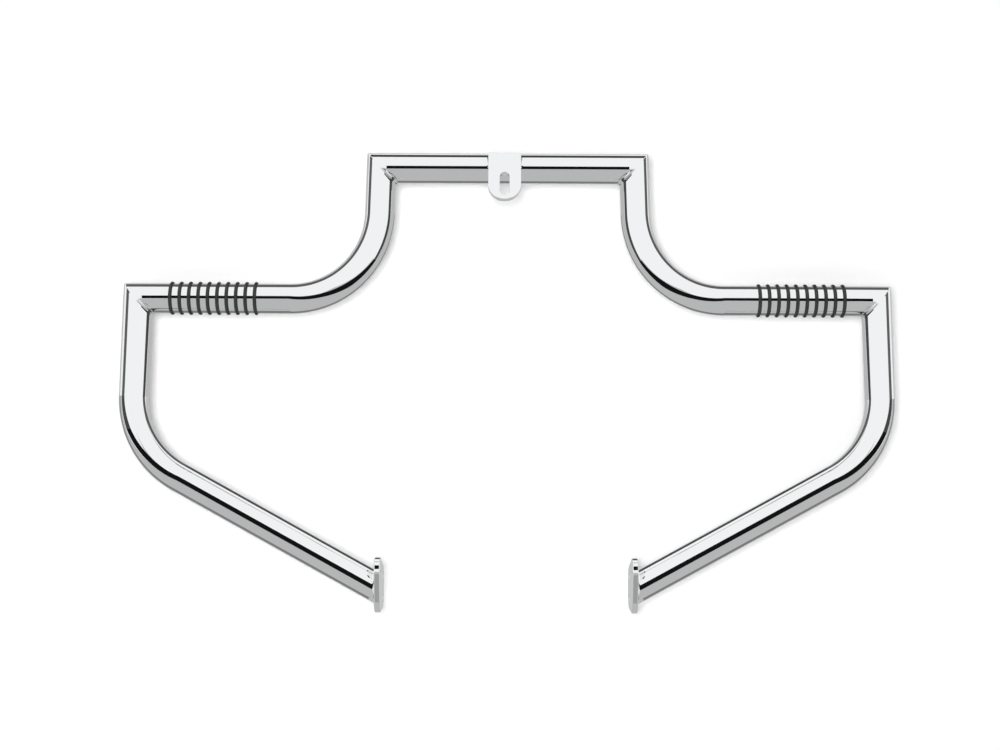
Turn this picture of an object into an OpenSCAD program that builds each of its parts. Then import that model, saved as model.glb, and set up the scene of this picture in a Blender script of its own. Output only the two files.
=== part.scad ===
// Crash bar for a motorcycle: one cross tube, two bent shoulder tubes that make the
// foot pegs, two bent legs, a slotted tab for the top bolt and two bolt-on lugs below.
// The front faces -Y, Z is up, and left and right are as seen from the front, with X to
// the right. The origin is on the cross tube's centre line, midway between the risers.
// Every tube's centre line lies in the plane y = 0. Sizes are in millimetres.

/* [Tubes] */
// Outside diameter of all five tubes
tube_d = 31.75; // [26:0.25:36]
// Wall thickness of the tubes
tube_wall = 3.2; // [3:0.1:4]
// Centre-line radius of the four bends
bend_r = 95.25; // [85:0.25:105]

/* [Upper frame] */
// Middle of the bar to the mitred corner of cross tube and riser
riser_half = 135.3; // [125:0.1:150]
// How far a riser splays outward from upright, in degrees
riser_splay = 2; // [0:0.1:4]
// Cross tube's centre line down to the foot tubes' centre line
foot_drop = 140.6; // [135:0.1:155]
// Middle of the bar to the mitred corner of foot tube and leg
foot_half = 395.7; // [385:0.1:415]

/* [Legs] */
// How far a leg splays outward from upright, in degrees
leg_splay = 2.3; // [0:0.1:5]
// How far the lower run falls below level, in degrees
lower_fall = 28.9; // [24:0.1:34]
// Middle of the bar to the outer face of a lug
lug_half = 140.4; // [130:0.1:150]
// Cross tube's centre line down to where a leg meets its lug
lug_drop = 449.1; // [430:0.1:470]

/* [Rubber rings] */
// Rings on each foot tube, as far as its straight run has room
ring_count = 10; // [6:1:12]
// Spacing of the rings
ring_pitch = 10; // [8:0.1:11]
// Mitred corner to the outermost ring
ring_margin = 36.7; // [33:0.1:45]
// Thickness of a ring's round section
ring_d = 3.5; // [2.6:0.1:3.6]
// How far a ring stands proud of its tube
ring_proud = 2; // [1.4:0.1:2.4]
// Play between a ring and its groove
ring_play = 0.05; // [0.03:0.01:0.2]

/* [Mounting tab] */
// Width of the tab, and of its round lower end
tab_w = 34.8; // [30:0.1:40]
// Tab's length from its top edge to its round end
tab_len = 55.3; // [52:0.1:60]
// Thickness of the tab's plate
tab_t = 6.35; // [5:0.05:8]
// Top edge of the tab above the line where it touches the tube
tab_rise = 8.5; // [7:0.5:12]
// How far the tab leans back from upright, in degrees
tab_lean = 20; // [10:1:30]
// Tab's centre to the side of the bar's middle
tab_shift = -3.5; // [-8:0.1:8]
// Width of the bolt slot
slot_w = 10.2; // [8.4:0.1:13]
// Length of the bolt slot over its round ends
slot_len = 26; // [22:0.1:30]
// Metal left below the bolt slot
slot_edge = 5.4; // [4:0.1:8]
// Rounding of the tab's top front edge
tab_round = 3; // [1:0.5:4]

/* [Lugs] */
// Thickness of a lug's plate
lug_t = 6.35; // [5:0.05:8]
// Height of a lug
lug_h = 59; // [56:0.5:70]
// A lug's middle above the point where the leg's centre line meets it
lug_lift = 2.8; // [0:0.1:6]
// Front edge of a lug ahead of the tubes' plane
lug_front = 23.5; // [22:0.5:28]
// Rear edge of a lug behind the tubes' plane
lug_back = 42; // [40:0.5:56]
// How much further back the lower end of the front edge is
lug_set_back = 5; // [0:0.5:8]
// How much lower the rear end of the top edge is
lug_fall = 12; // [6:0.5:14]
// Corner radius of a lug
lug_round = 14; // [8:0.5:16]
// Bolt holes' distance behind the tubes' plane
bolt_back = 30; // [28:0.5:32]
// Spacing of the two bolt holes, one above the other
bolt_pitch = 24; // [20:0.5:28]
// Middle between the two bolt holes below the lug's middle
bolt_drop = 6; // [4:0.5:8]
// Diameter of the bolt holes
bolt_d = 8.8; // [6.6:0.1:11]

/* [Welds] */
// Width of the bead round a mitred corner
bead_w = 5; // [3:0.5:7]
// Height of that bead along its crest
bead_h = 0.9; // [0.6:0.1:1.5]
// Leg length of the fillet between a leg and its lug
lug_weld = 4.5; // [3:0.5:6]
// Leg length of the fillets beside the tab
tab_weld = 3.5; // [2:0.5:5]
// Angle of the tube's surface that a tab fillet covers
tab_weld_turn = 52; // [30:2:60]

/* [Hidden] */
$fn = 96;
chrome = [0.86, 0.87, 0.88];
weld_chrome = [0.74, 0.75, 0.76];
rubber = [0.15, 0.155, 0.16];

// A cutting block is this many tube diameters across
cut_span = 5;
// A cut runs this far past the faces that it opens
past = 1;
// Degrees that a bend is turned too far before it is cut off square
bend_spare = 10;
// A bead's edge stands this far off the tube, clear of the bead's own facets
bead_edge = 0.15;
// Thickness of the slices that a bead is blended from
slice_t = 0.01;
// A blended bead needs no more sides than this
bead_fn = 40;
// The tube's own round that a thin bead is cut to is drawn finer
fit_fn = 288;
// Flats that make up a rounded corner of a lug
corner_steps = 12;

tube_r = tube_d / 2;
bore_d = tube_d - 2 * tube_wall;
cut = cut_span * tube_d;

// Directions of the right half's runs in the tubes' own plane, x then height
level_dir = [1, 0];
riser_dir = [sin(riser_splay), -cos(riser_splay)];
leg_dir = [sin(leg_splay), -cos(leg_splay)];
lower_dir = [-cos(lower_fall), -sin(lower_fall)];

// Corners of the right half's centre line
top_corner = [riser_half, 0];
foot_corner = [foot_half, -foot_drop];
lug_point = [lug_half, -lug_drop];

// The riser and the foot tube would meet in a sharp shoulder, which the bend replaces
shoulder = top_corner + foot_drop / cos(riser_splay) * riser_dir;
shoulder_turn = 90 - riser_splay;
shoulder_tangent = bend_r * tan(shoulder_turn / 2);
shoulder_centre = shoulder + [shoulder_tangent, bend_r];

// Straight length of a foot tube, from its bend to its mitred corner
foot_run = norm(foot_corner - shoulder) - shoulder_tangent;

// The leg and the lower run would meet in a sharp knee, which the bend replaces
leg_run = (lug_drop - foot_drop - (foot_half - lug_half) * tan(lower_fall))
    / (cos(leg_splay) + sin(leg_splay) * tan(lower_fall));
knee = foot_corner + leg_run * leg_dir;
knee_turn = 90 - lower_fall + leg_splay;
knee_tangent = bend_r * tan(knee_turn / 2);
knee_centre = knee - knee_tangent * leg_dir - bend_r * [cos(leg_splay), sin(leg_splay)];

// Directions square to the two mitre planes, pointing from the upper tube to the next
top_mitre = (level_dir + riser_dir) / norm(level_dir + riser_dir);
corner_mitre = (level_dir + leg_dir) / norm(level_dir + leg_dir);

// Turn from the foot tube into the leg
corner_turn = acos(level_dir * leg_dir);

// Radius of a ring's centre circle, and of its groove's floor
ring_r = tube_r + ring_proud - ring_d / 2;
groove_r = ring_r - ring_d / 2 - ring_play;

// Rings sit on the foot tube's straight run, so a shorter run takes fewer of them
ring_room = foot_run - ring_margin - ring_d / 2 - ring_play;
rings_fitted = min(ring_count, 1 + floor(ring_room / ring_pitch));

// Heights on the tab, measured along it from the line where it touches the tube
tab_end_v = tab_rise - tab_len + tab_w / 2;
slot_low_v = tab_rise - tab_len + slot_edge + slot_w / 2;
slot_high_v = slot_low_v + slot_len - slot_w;

// Heights of a lug's middle, and of the middle between its bolt holes
lug_mid = lug_lift - lug_drop;
bolt_mid = lug_mid - bolt_drop;

// Lug outline, as y and z of its corner circles' centres
lug_in = lug_h / 2 - lug_round;
lug_corners = [
    [lug_round - lug_front, lug_mid + lug_in],
    [lug_back - lug_round, lug_mid + lug_in - lug_fall],
    [lug_back - lug_round, lug_mid - lug_in],
    [lug_round - lug_front + lug_set_back, lug_mid - lug_in]];

// Stands what is drawn in the tubes' plane upright, its Z becoming -Y
module upright() {
    rotate([90, 0, 0]) children();
}

// The left half is the right half seen in a mirror
module on_side(side) {
    if (side == "left") mirror([1, 0, 0]) children();
    else children();
}

// Straight round bar between two points of the tubes' plane
module rod(from, to, d) {
    run = to - from;
    translate(from)
        rotate([0, 0, atan2(run.y, run.x)])
            rotate([0, 90, 0]) cylinder(h = norm(run), d = d);
}

// Straight run and the first half of a bend through turn degrees. The bend is turned a
// little too far and cut off on the plane where its other half meets it.
module half_bent_bar(run, turn, d) {
    reach = turn / 2 + bend_spare;
    difference() {
        rotate([0, 0, turn / 2]) {
            translate([bend_r, 0, 0]) rotate([-90, 0, 0]) cylinder(h = run, d = d);
            rotate_extrude(angle = reach, start = -reach) translate([bend_r, 0]) circle(d = d);
        }
        translate([0, -bend_r, -bend_r]) cube([2 * bend_r, bend_r, 2 * bend_r]);
    }
}

// Round bar that comes down, bends through turn degrees towards -X and runs straight on.
// It is drawn about the centre of its bend, with the middle of the bend on +X.
module bent_bar(before, turn, after, d) {
    half_bent_bar(before, turn, d);
    mirror([0, 1, 0]) half_bent_bar(after, turn, d);
}

// Everything on the far side of a plane that is square to dir
module beyond(point, dir) {
    translate(point)
        rotate([0, 0, atan2(dir.y, dir.x)])
            translate([0, -cut / 2, -cut / 2]) cube(cut);
}

// Riser, shoulder bend and foot tube as one bar, run past both mitres by extra
module shoulder_bar(d, extra) {
    translate(shoulder_centre)
        rotate([0, 0, riser_splay + shoulder_turn / 2])
            mirror([1, 0, 0])
                bent_bar(norm(shoulder - top_corner) - shoulder_tangent + extra, shoulder_turn,
                    foot_run + extra, d);
}

// Leg, knee bend and lower run as one bar, run past the mitre and the lug by extra
module leg_bar(d, extra) {
    translate(knee_centre)
        rotate([0, 0, leg_splay - knee_turn / 2])
            bent_bar(leg_run - knee_tangent + extra, knee_turn,
                norm(lug_point - knee) - knee_tangent + extra, d);
}

// Grooves turned into a foot tube to seat the rings
module ring_grooves() {
    for (i = [1 : rings_fitted])
        translate([ring_x(i), -foot_drop, 0])
            rotate([0, 90, 0])
                difference() {
                    cylinder(h = ring_d + 2 * ring_play, d = tube_d + 2 * past, center = true);
                    cylinder(h = ring_d + 2 * past, r = groove_r, center = true);
                }
}

// Place of ring i along the foot tube, counted from the leg inward
function ring_x(i) = foot_half - ring_margin - (i - 1) * ring_pitch;

module cross_tube() {
    color(chrome)
        upright()
            difference() {
                rod(-top_corner - [tube_d, 0], top_corner + [tube_d, 0], tube_d);
                rod(-top_corner - [tube_d + past, 0], top_corner + [tube_d + past, 0], bore_d);
                beyond(top_corner, top_mitre);
                mirror([1, 0, 0]) beyond(top_corner, top_mitre);
            }
}

module shoulder_tube(side) {
    color(chrome)
        on_side(side)
            upright()
                difference() {
                    shoulder_bar(tube_d, tube_d);
                    shoulder_bar(bore_d, tube_d + past);
                    beyond(top_corner, -top_mitre);
                    beyond(foot_corner, corner_mitre);
                    ring_grooves();
                }
}

module leg_tube(side) {
    color(chrome)
        on_side(side)
            upright()
                difference() {
                    leg_bar(tube_d, tube_d);
                    leg_bar(bore_d, tube_d + past);
                    beyond(foot_corner, -corner_mitre);
                    beyond(lug_point, [-1, 0]);
                }
}

module ring(side, i) {
    color(rubber)
        on_side(side)
            translate([ring_x(i), 0, -foot_drop])
                rotate([0, 90, 0])
                    rotate_extrude() translate([ring_r, 0]) circle(d = ring_d);
}

// Thin slice of a bar, cut parallel to a mitre or a lug at some distance along dir
module slice(from, to, d, point, dir) {
    intersection() {
        rod(from, to, d, $fn = bead_fn);
        translate(point)
            rotate([0, 0, atan2(dir.y, dir.x)])
                translate([-slice_t / 2, -cut / 2, -cut / 2]) cube([slice_t, cut, cut]);
    }
}

// Half of a polished bead round a mitred joint that turns the tubes through turn degrees,
// with the mitre in the plane x = 0 and the bead's crest on it
module half_bead(turn) {
    run = 2 * tube_d * [cos(turn / 2), sin(turn / 2)];
    difference() {
        hull() {
            slice(-run, run, tube_d + 2 * bead_edge, [-bead_w / 2, 0], level_dir);
            slice(-run, run, tube_d + 2 * bead_h, [0, 0], level_dir);
        }
        rod(-run, run, tube_d, $fn = fit_fn);
        beyond([0, 0], level_dir);
    }
}

module mitre_bead(corner, turn, mitre) {
    translate(corner)
        rotate([0, 0, atan2(mitre.y, mitre.x)]) {
            half_bead(turn);
            mirror([1, 0, 0]) half_bead(turn);
        }
}

module top_weld(side) {
    color(weld_chrome)
        on_side(side)
            upright() mitre_bead(top_corner, shoulder_turn, top_mitre);
}

module corner_weld(side) {
    color(weld_chrome)
        on_side(side)
            upright() mitre_bead(foot_corner, corner_turn, corner_mitre);
}

// Fillet between the end of a leg and the outer face of its lug
module lug_weld_ring(side) {
    far = lug_point - 3 * tube_d * lower_dir;
    near = lug_point + tube_d * lower_dir;
    color(weld_chrome)
        on_side(side)
            upright()
                difference() {
                    hull() {
                        slice(far, near, tube_d + 2 * lug_weld, lug_point, [1, 0]);
                        slice(far, near, tube_d + 2 * bead_edge, lug_point + [lug_weld, 0], [1, 0]);
                    }
                    rod(far, near, tube_d);
                    beyond(lug_point, [-1, 0]);
                }
}

// Puts what is drawn against a flat tab onto the tube: X across, Y up it, Z out of its face
module on_tab() {
    rotate([90 - tab_lean, 0, 0]) children();
}

// Front outline of the tab with its slot
module tab_outline() {
    difference() {
        union() {
            translate([-tab_w / 2, tab_end_v]) square([tab_w, tab_rise - tab_end_v]);
            translate([0, tab_end_v]) circle(d = tab_w);
        }
        translate([-slot_w / 2, slot_low_v]) square([slot_w, slot_high_v - slot_low_v]);
        for (v = [slot_low_v, slot_high_v]) translate([0, v]) circle(d = slot_w);
    }
}

// What the rounding of the tab's top front edge takes away, seen along X
module tab_edge_waste() {
    translate([tab_rise - tab_round, tube_r + tab_t - tab_round])
        difference() {
            square(tab_round + past);
            circle(r = tab_round);
        }
}

module mount_tab() {
    color(chrome)
        translate([tab_shift, 0, 0])
            on_tab()
                difference() {
                    translate([0, 0, tube_r]) linear_extrude(tab_t) tab_outline();
                    translate([-tab_w / 2 - past, 0, 0])
                        rotate([90, 0, 90])
                            linear_extrude(tab_w + 2 * past) tab_edge_waste();
                }
}

// Fillet between one side of the tab and the tube, turned about the tube's centre line
module tab_fillet(side) {
    color(weld_chrome)
        translate([tab_shift, 0, 0])
            on_side(side)
                on_tab()
                    rotate([0, 90, 0])
                        rotate([0, 0, 180 - tab_weld_turn / 2])
                            rotate_extrude(angle = tab_weld_turn)
                                translate([tube_r, tab_w / 2])
                                    polygon([[0, 0], [tab_weld, 0], [0, tab_weld]]);
}

// Outline round corner centres that are listed clockwise: an arc at each, joined by
// straight sides
module round_corners(centres, r) {
    count = len(centres);
    function side_angle(a, b) = atan2(b.x - a.x, a.y - b.y);
    polygon([for (i = [0 : count - 1])
        let (before = centres[(i + count - 1) % count], here = centres[i],
            after = centres[(i + 1) % count],
            start = side_angle(before, here),
            turn = (start - side_angle(here, after) + 360) % 360)
        for (k = [0 : corner_steps])
            let (a = start - turn * k / corner_steps)
            here + r * [cos(a), sin(a)]]);
}

module lug(side) {
    color(chrome)
        on_side(side)
            translate([lug_half - lug_t, 0, 0])
                rotate([90, 0, 90])
                    linear_extrude(lug_t)
                        difference() {
                            round_corners(lug_corners, lug_round);
                            for (up = [-1, 1])
                                translate([bolt_back, bolt_mid + up * bolt_pitch / 2])
                                    circle(d = bolt_d);
                        }
}

cross_tube();
mount_tab();
for (side = ["left", "right"]) {
    shoulder_tube(side);
    leg_tube(side);
    lug(side);
    top_weld(side);
    corner_weld(side);
    lug_weld_ring(side);
    tab_fillet(side);
    for (i = [1 : rings_fitted])
        ring(side, i);
}
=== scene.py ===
"""Dresses a motorcycle crash bar: polished chrome tubes, plates and welds with rubber rings.

The front faces -Y and Z is up. Left and right are as seen from the front, with X to the
right. The origin is on the cross tube's centre line, midway between the risers, and every
tube's centre line lies in the plane y = 0. Sizes are in metres.
"""

import math

import bmesh
import bpy
from mathutils import Matrix, Vector


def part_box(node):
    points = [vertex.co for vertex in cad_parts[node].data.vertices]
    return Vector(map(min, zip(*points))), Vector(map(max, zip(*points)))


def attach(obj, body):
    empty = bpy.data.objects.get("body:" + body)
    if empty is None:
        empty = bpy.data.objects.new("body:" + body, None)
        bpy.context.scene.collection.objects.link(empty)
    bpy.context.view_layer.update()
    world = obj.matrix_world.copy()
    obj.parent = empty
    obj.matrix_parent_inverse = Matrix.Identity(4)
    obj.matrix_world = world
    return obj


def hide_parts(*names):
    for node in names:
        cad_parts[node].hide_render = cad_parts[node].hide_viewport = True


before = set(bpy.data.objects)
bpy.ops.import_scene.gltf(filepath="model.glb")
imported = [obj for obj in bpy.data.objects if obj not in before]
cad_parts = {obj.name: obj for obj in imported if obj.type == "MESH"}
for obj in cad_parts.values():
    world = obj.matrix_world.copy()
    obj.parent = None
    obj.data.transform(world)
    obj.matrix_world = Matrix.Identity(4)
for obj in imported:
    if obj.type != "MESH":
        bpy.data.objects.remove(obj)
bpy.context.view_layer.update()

bl_info = {
    "name": "Crash Bar",
    "version": (1, 0, 0),
    "blender": (4, 5, 0),
    "location": "3D View > Sidebar > Crash Bar",
    "description": "Makes the finished tubes, plates, welds, rings and studio of a crash bar",
    "category": "Add Mesh",
}

MM = 0.001
SIDES = {"left": -1, "right": 1}
Y_AXIS = Vector((0, 1, 0))

# Boxes of the frame that the tube's diameter and the places of rings, lugs and tab come from
CROSS_LOW, CROSS_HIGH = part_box("cross_tube")
RING_LOW, RING_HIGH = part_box("right_ring_1")
LUG_LOW, LUG_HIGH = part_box("right_lug")
TAB_LOW, TAB_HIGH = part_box("mount_tab")


def length(name, description, default):
    """A size in metres that a user can change"""
    return bpy.props.FloatProperty(
        name=name, description=description, default=default, unit="LENGTH", precision=5)


def turned(name, description, degrees):
    """An angle that a user can change"""
    return bpy.props.FloatProperty(
        name=name, description=description, default=math.radians(degrees),
        unit="ROTATION", subtype="ANGLE")


def linear(hex_colour):
    """Linear RGBA from an sRGB hex value"""
    channels = [int(hex_colour[i:i + 2], 16) / 255 for i in (0, 2, 4)]
    return [c / 12.92 if c <= 0.04045 else ((c + 0.055) / 1.055) ** 2.4
            for c in channels] + [1]


def tint(name, description, hex_colour):
    """A colour that a user can change"""
    return bpy.props.FloatVectorProperty(
        name=name, description=description, size=4, min=0, max=1,
        default=linear(hex_colour), subtype="COLOR")


class TubeSizes(bpy.types.PropertyGroup):
    """Sizes of the five tubes and of the beads at their mitres"""

    diameter: length("Diameter", "Outside diameter of all five tubes",
                     CROSS_HIGH.z - CROSS_LOW.z)
    wall: length("Wall", "Wall thickness of the tubes", 3.2 * MM)
    bend: length("Bend radius", "Centre-line radius of the four bends", 95.25 * MM)
    riser_half: length("Riser half", "Middle of the bar to the corner above a riser", 135.3 * MM)
    riser_splay: turned("Riser splay", "How far a riser splays outward from upright", 2)
    foot_drop: length("Foot drop", "Cross tube's centre line down to the foot tubes'",
                      -(RING_LOW.z + RING_HIGH.z) / 2)
    foot_run: length("Foot run", "Straight length of a foot tube, from bend to corner",
                     163.5 * MM)
    leg_splay: turned("Leg splay", "How far a leg splays outward from upright", 2.3)
    lower_fall: turned("Lower fall", "How far the lower run falls below level", 28.9)
    lug_half: length("Lug half", "Middle of the bar to the outer face of a lug", LUG_HIGH.x)
    lug_drop: length("Lug drop", "Cross tube's centre line down to where a leg meets its lug",
                     449.1 * MM)
    bead: length("Bead", "Reach of a polished bead to each side of a mitre", 2.8 * MM)
    bead_depth: length("Bead depth", "How deep the mitre is cut back for the bead", 1.6 * MM)
    bead_crest: length("Bead crest", "Height of the bead's soft crest", 0.5 * MM)
    fillet: length("Fillet", "Reach of the weld between a leg and its lug", 3.2 * MM)


class RingSizes(bpy.types.PropertyGroup):
    """Sizes of the rubber rings and their grooves"""

    count: bpy.props.IntProperty(
        name="Count", description="Rings on each foot tube", default=10, min=1)
    thick: length("Thickness", "Thickness of a ring's round section",
                  RING_HIGH.x - RING_LOW.x)
    outside: length("Outside", "Outside radius of a ring", (RING_HIGH.z - RING_LOW.z) / 2)
    play: length("Play", "Play between a ring and its groove", 0.05 * MM)
    seam: length("Seam", "Height of the moulding seam round a ring", 0.06 * MM)
    groove_edge: length("Groove edge", "Chamfer at a groove's rim", 0.2 * MM)


class PlateSizes(bpy.types.PropertyGroup):
    """Sizes of the slotted tab and the two lugs"""

    tab_w: length("Tab width", "Width of the tab", TAB_HIGH.x - TAB_LOW.x)
    tab_len: length("Tab length", "Top edge of the tab to its round end", 55.3 * MM)
    tab_thick: length("Tab thickness", "Thickness of the tab", 6.35 * MM)
    tab_rise: length("Tab rise", "Tab's top edge above the line where it touches the tube",
                     8.5 * MM)
    tab_lean: turned("Tab lean", "How far the tab leans back from upright", 20)
    tab_shift: length("Tab shift", "Tab's centre to the side of the bar's middle",
                      (TAB_LOW.x + TAB_HIGH.x) / 2)
    tab_round: length("Tab round", "Rounding of the tab's top front edge", 3 * MM)
    tab_corner: length("Tab corner", "Corner radius at the tab's upper end", 1.2 * MM)
    slot_w: length("Slot width", "Width of the bolt slot", 10.2 * MM)
    slot_len: length("Slot length", "Length of the bolt slot over its round ends", 26 * MM)
    slot_edge: length("Slot edge", "Metal left below the bolt slot", 5.4 * MM)
    tab_weld: length("Tab weld", "Reach of the fillets beside the tab", 3 * MM)
    tab_weld_turn: turned("Tab weld turn", "Part of the tube's round that a tab fillet covers", 50)
    edge: length("Edge", "Rounding of the tab's polished edges", 0.45 * MM)
    lug_thick: length("Lug thickness", "Thickness of a lug", LUG_HIGH.x - LUG_LOW.x)
    lug_set_back: length("Lug set-back",
                         "How much further back a lug's lower front corner is", 5 * MM)
    lug_fall: length("Lug fall", "How much lower the rear end of a lug's top edge is", 12 * MM)
    lug_round: length("Lug round", "Corner radius of a lug", 14 * MM)
    lug_edge: length("Lug edge", "Rounding of a lug's polished edges", 0.9 * MM)
    bolt_back: length("Bolt back", "Bolt holes' distance behind the tubes' plane", 30 * MM)
    bolt_pitch: length("Bolt pitch", "Spacing of a lug's two bolt holes", 24 * MM)
    bolt_drop: length("Bolt drop", "Middle between the bolt holes below the lug's middle",
                      6 * MM)
    bolt_d: length("Bolt hole", "Diameter of the bolt holes", 8.8 * MM)


class Finishes(bpy.types.PropertyGroup):
    """Colours of the finishes"""

    chrome: tint("Chrome", "Bright decorative chrome plate", "f0f1f2")
    rubber: tint("Rubber", "Black moulded nitrile rubber", "262827")
    paper: tint("Paper", "Matt white background paper", "fbfbfb")


def add_node(tree, kind, inputs=None, **settings):
    """A node with its settings, and its sockets linked or set"""
    made = tree.nodes.new(kind)
    for key, value in settings.items():
        setattr(made, key, value)
    for socket, value in (inputs or {}).items():
        if isinstance(value, bpy.types.NodeSocket):
            tree.links.new(value, made.inputs[socket])
        else:
            made.inputs[socket].default_value = value
    return made


def new_material(name):
    """An empty node material and its output node"""
    material = bpy.data.materials.new(name)
    material.use_nodes = True
    material.node_tree.nodes.clear()
    output = add_node(material.node_tree, "ShaderNodeOutputMaterial")
    return material, material.node_tree, output


def polished_chrome(name, wave_mm, wave_height):
    """Bright chrome over buffed steel. It mirrors its surroundings almost whole, with the
    faint waver of buffing in the lines and a thin haze where the mop has been."""
    material, tree, output = new_material(name)
    place = add_node(tree, "ShaderNodeTexCoord").outputs["Object"]
    # Buffing leaves long shallow waves of about wave_mm
    waves = add_node(tree, "ShaderNodeTexNoise", {
        "Vector": place, "Scale": 1 / (wave_mm * MM), "Detail": 1, "Roughness": 0.4})
    # Polishing haze in patches of 9 mm, crossed by 0.4 mm marks drawn coarse enough to show
    haze = add_node(tree, "ShaderNodeTexNoise", {
        "Vector": place, "Scale": 1 / (9 * MM), "Detail": 3, "Roughness": 0.55})
    marks = add_node(tree, "ShaderNodeTexNoise", {
        "Vector": place, "Scale": 1 / (0.4 * MM), "Detail": 2, "Roughness": 0.6})
    both = add_node(tree, "ShaderNodeMath", {0: haze.outputs["Fac"], 1: marks.outputs["Fac"]},
                    operation="MULTIPLY")
    rough = add_node(tree, "ShaderNodeMapRange", {
        "Value": both.outputs[0], "From Min": 0.1, "From Max": 0.45,
        "To Min": 0.025, "To Max": 0.07})
    bump = add_node(tree, "ShaderNodeBump", {
        "Height": waves.outputs["Fac"], "Strength": 1, "Distance": wave_height})
    shader = add_node(tree, "ShaderNodeBsdfPrincipled", {
        "Base Color": bpy.context.scene.crash_bar_finish.chrome, "Metallic": 1,
        "Roughness": rough.outputs["Result"], "Normal": bump.outputs["Normal"]})
    tree.links.new(shader.outputs["BSDF"], output.inputs["Surface"])
    return material


def nitrile_rubber():
    """Moulded nitrile rubber. It is a soft charcoal black with a dull sheen and a fine grain
    left by the mould."""
    material, tree, output = new_material("nitrile_rubber")
    place = add_node(tree, "ShaderNodeTexCoord").outputs["Object"]
    # Mould grain of 0.3 mm, and a grey bloom in patches of 4 mm
    grain = add_node(tree, "ShaderNodeTexNoise", {
        "Vector": place, "Scale": 1 / (0.3 * MM), "Detail": 3, "Roughness": 0.6})
    bloom = add_node(tree, "ShaderNodeTexNoise", {
        "Vector": place, "Scale": 1 / (4 * MM), "Detail": 2, "Roughness": 0.5})
    base = bpy.context.scene.crash_bar_finish.rubber
    colour = add_node(tree, "ShaderNodeMix", {
        "Factor": bloom.outputs["Fac"], "A": base,
        "B": [min(1, 1.5 * c) for c in base[:3]] + [1]}, data_type="RGBA")
    rough = add_node(tree, "ShaderNodeMapRange", {
        "Value": grain.outputs["Fac"], "From Min": 0.3, "From Max": 0.7,
        "To Min": 0.5, "To Max": 0.68})
    bump = add_node(tree, "ShaderNodeBump", {
        "Height": grain.outputs["Fac"], "Strength": 0.5, "Distance": 0.04 * MM})
    shader = add_node(tree, "ShaderNodeBsdfPrincipled", {
        "Base Color": colour.outputs["Result"], "Roughness": rough.outputs["Result"],
        "Normal": bump.outputs["Normal"], "Specular IOR Level": 0.4})
    tree.links.new(shader.outputs["BSDF"], output.inputs["Surface"])
    return material


def tube_chrome():
    """Chrome on drawn steel tube. Buffing along the tube leaves waves of about 45 mm, which
    make its lines waver a little."""
    return polished_chrome("tube_chrome", 45, 0.01 * MM)


def plate_chrome():
    """Chrome on steel plate, polished flat, with short and very shallow waves"""
    return polished_chrome("plate_chrome", 20, 0.004 * MM)


def weld_chrome():
    """Chrome on a ground weld. The bead's ripple is left as waves of about 6 mm."""
    return polished_chrome("weld_chrome", 6, 0.012 * MM)


# The material of each slot in the record
FINISHES = {
    "chromed_tube": tube_chrome,
    "chromed_plate": plate_chrome,
    "chromed_weld": weld_chrome,
    "rubber_ring": nitrile_rubber,
}


def finish_for(slot):
    """The material of a record slot, made when it is first asked for"""
    maker = FINISHES[slot]
    return bpy.data.materials.get(maker.__name__) or maker()


def mirrored(point, side):
    """A point of the right half as it lies on the given side"""
    return Vector((SIDES[side] * point.x, point.y, point.z))


def loft(rings, capped=False):
    """Mesh of a surface that runs from ring to ring. It closes with caps on the first and
    last ring, or else runs from the last ring back to the first."""
    shell = bmesh.new()
    rows = [[shell.verts.new(point) for point in ring] for ring in rings]
    count = len(rings[0])
    following_rows = rows[1:] if capped else rows[1:] + rows[:1]
    for row, following in zip(rows, following_rows):
        for k in range(count):
            after = (k + 1) % count
            shell.faces.new((row[k], row[after], following[after], following[k]))
    if capped:
        shell.faces.new(rows[0])
        shell.faces.new(rows[-1][::-1])
    return shell


# Edges that turn by more degrees than this are shaded sharp
TUBE_SHARP = 12
WELD_SHARP = 32
TAB_SHARP = 32
LUG_SHARP = 40
RING_SHARP = 60


def make_piece(name, shell, slot, node, sharp_degrees):
    """Object from a bmesh, finished for its slot, that stands for a CAD node"""
    bmesh.ops.recalc_face_normals(shell, faces=shell.faces)
    mesh = bpy.data.meshes.new(name)
    shell.to_mesh(mesh)
    shell.free()
    mesh.shade_smooth()
    mesh.set_sharp_from_angle(angle=math.radians(sharp_degrees))
    piece = bpy.data.objects.new(name, mesh)
    bpy.context.scene.collection.objects.link(piece)
    piece.data.materials.append(finish_for(slot))
    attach(piece, "root")
    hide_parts(node)
    return piece


def flatten(piece):
    """Lets the large flat faces set the shading where rounded edges run into them"""
    flats = piece.modifiers.new("flat_faces", "WEIGHTED_NORMAL")
    flats.keep_sharp = True


# Flats round a tube, degrees between rings along a bend, and the hidden bore's coarser step
AROUND = 96
BEND_STEP = 1
BORE_STEP = 4


def direction(angle):
    """Unit vector in the tubes' plane at an angle above +X"""
    return Vector((math.cos(angle), 0, math.sin(angle)))


def across(run):
    """Direction in the tubes' plane that is square to a run"""
    return Vector((-run.z, 0, run.x))


def ring_at(centre, run, radius):
    """Ring of points square to a run"""
    angles = [2 * math.pi * k / AROUND for k in range(AROUND)]
    return [centre + radius * (math.cos(a) * across(run) + math.sin(a) * Y_AXIS)
            for a in angles]


def cut_ring(corner, run, plane_normal, radius, before=0):
    """Ring of points of a tube where a plane through the corner cuts it, set back by before"""
    ring = ring_at(corner, run, radius)
    return [p + run * ((corner - p).dot(plane_normal) / run.dot(plane_normal) - before)
            for p in ring]


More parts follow.
